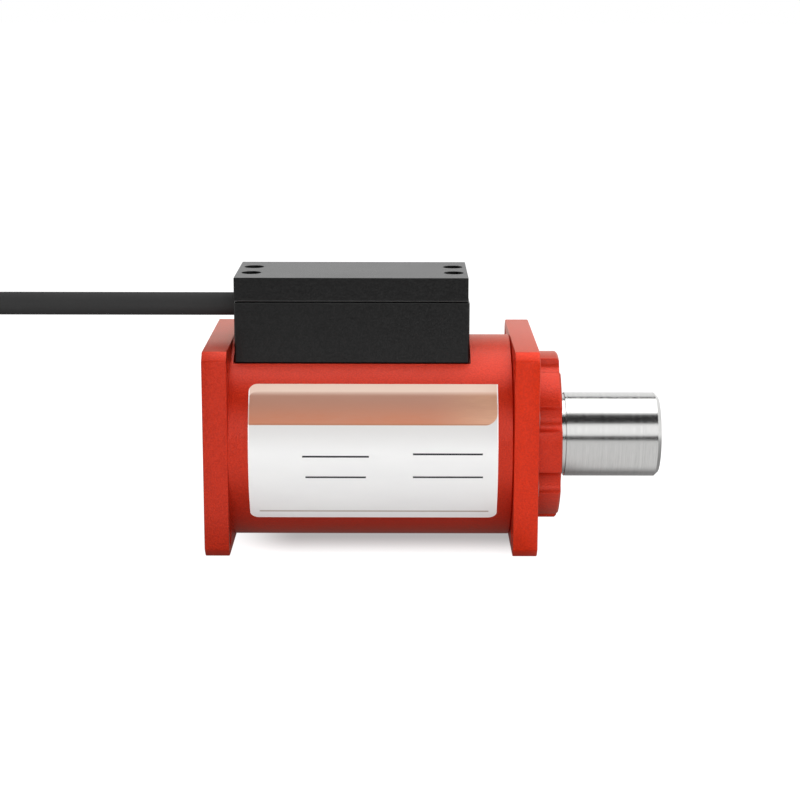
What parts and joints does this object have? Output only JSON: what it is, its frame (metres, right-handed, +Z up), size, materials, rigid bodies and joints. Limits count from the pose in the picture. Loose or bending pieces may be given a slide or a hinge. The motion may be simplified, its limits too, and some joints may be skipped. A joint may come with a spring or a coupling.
{
  "type": "rotary torque sensor",
  "caption": "In-line rotary torque sensor: a steel shaft turns on bearings in a red square-flanged housing under a black junction box, with its cable folded in a hank.",
  "frame": {"origin": "on the ground under the middle of the sensor's length, without its cable", "axes": "+X along the shaft towards its output end, +Z up through the junction box, the label plate facing -Y"},
  "size_m": [0.3039, 0.0508, 0.0635],
  "materials": {
    "red_anodised": "fine bead-blasted, anodised orange red",
    "black_anodised": "bead-blasted, anodised black",
    "turned_steel": "fine turned",
    "bearing_steel": "ground and polished",
    "spring_steel": "dark phosphated",
    "screw_steel": "bright stainless",
    "black_screw": "black oxide",
    "label_face": "satin plate with colour fields",
    "cable_jacket": "satin black sheath",
    "tie_strap": "hook-and-loop strap",
    "seal_rubber": "matt black",
    "slip_ring_metal": "polished silver alloy",
    "insulating_resin": "machined resin",
    "silver_graphite": "pressed silver graphite",
    "board_green": "coated glass board",
    "core_insulation": "coloured core insulation",
    "gauge_foil": "polyimide backed foil"
  },
  "bodies": {
    "housing": {"main_housing": "red_anodised", "end_cover": "red_anodised", "junction_box": "black_anodised", "box_lid": "black_anodised", "input_bearing_outer_ring": "bearing_steel", "input_bearing_shield": "bearing_steel", "output_bearing_outer_ring": "bearing_steel", "housing_retaining_ring": "spring_steel", "wave_spring": "spring_steel", "cover_screw_1": "screw_steel", "cover_screw_2": "screw_steel", "cover_screw_3": "screw_steel", "cover_screw_4": "screw_steel", "cover_screw_5": "screw_steel", "cover_screw_6": "screw_steel", "cover_screw_7": "screw_steel", "cover_screw_8": "screw_steel", "box_screw_1": "screw_steel", "box_screw_2": "screw_steel", "box_screw_3": "screw_steel", "box_screw_4": "screw_steel", "board_screw_1": "screw_steel", "board_screw_2": "screw_steel", "brush_screw_1": "screw_steel", "brush_screw_2": "screw_steel", "lid_screw_1": "black_screw", "lid_screw_2": "black_screw", "lid_screw_3": "black_screw", "lid_screw_4": "black_screw", "label_plate": "label_face", "cable": "cable_jacket", "cable_hank": "cable_jacket", "cable_tail": "cable_jacket", "hank_tie": "tie_strap", "shaft_seal": "seal_rubber", "cable_stop": "seal_rubber", "end_sleeve": "seal_rubber", "cable_cores": "core_insulation", "brush_holder": "insulating_resin", "brush_1": "silver_graphite", "brush_2": "silver_graphite", "brush_3": "silver_graphite", "brush_4": "silver_graphite", "terminal_board": "board_green"},
    "shaft": {"torque_shaft": "turned_steel", "shaft_spacer": "turned_steel", "input_bearing_inner_ring": "bearing_steel", "output_bearing_inner_ring": "bearing_steel", "shaft_retaining_ring": "spring_steel", "slip_ring_sleeve": "insulating_resin", "slip_ring_1": "slip_ring_metal", "slip_ring_2": "slip_ring_metal", "slip_ring_3": "slip_ring_metal", "slip_ring_4": "slip_ring_metal", "strain_gauge_1": "gauge_foil", "strain_gauge_2": "gauge_foil"},
    "input_balls": {"input_bearing_balls": "bearing_steel"},
    "output_balls": {"output_bearing_balls": "bearing_steel"}
  },
  "joints": [
    {"name": "shaft_spin", "type": "hinge", "parent": "housing", "child": "shaft", "pos_m": [0, 0, 0.024], "axis": [1, 0, 0], "continuous": true},
    {"name": "input_balls_spin", "type": "hinge", "parent": "housing", "child": "input_balls", "pos_m": [-0.04665, 0, 0.024], "axis": [1, 0, 0], "continuous": true},
    {"name": "output_balls_spin", "type": "hinge", "parent": "housing", "child": "output_balls", "pos_m": [0.01055, 0, 0.024], "axis": [1, 0, 0], "continuous": true}
  ],
  "couplings": [
    {"joint": "input_balls_spin", "follows": "shaft_spin", "ratio": 0.4516},
    {"joint": "output_balls_spin", "follows": "shaft_spin", "ratio": 0.4516}
  ]
}
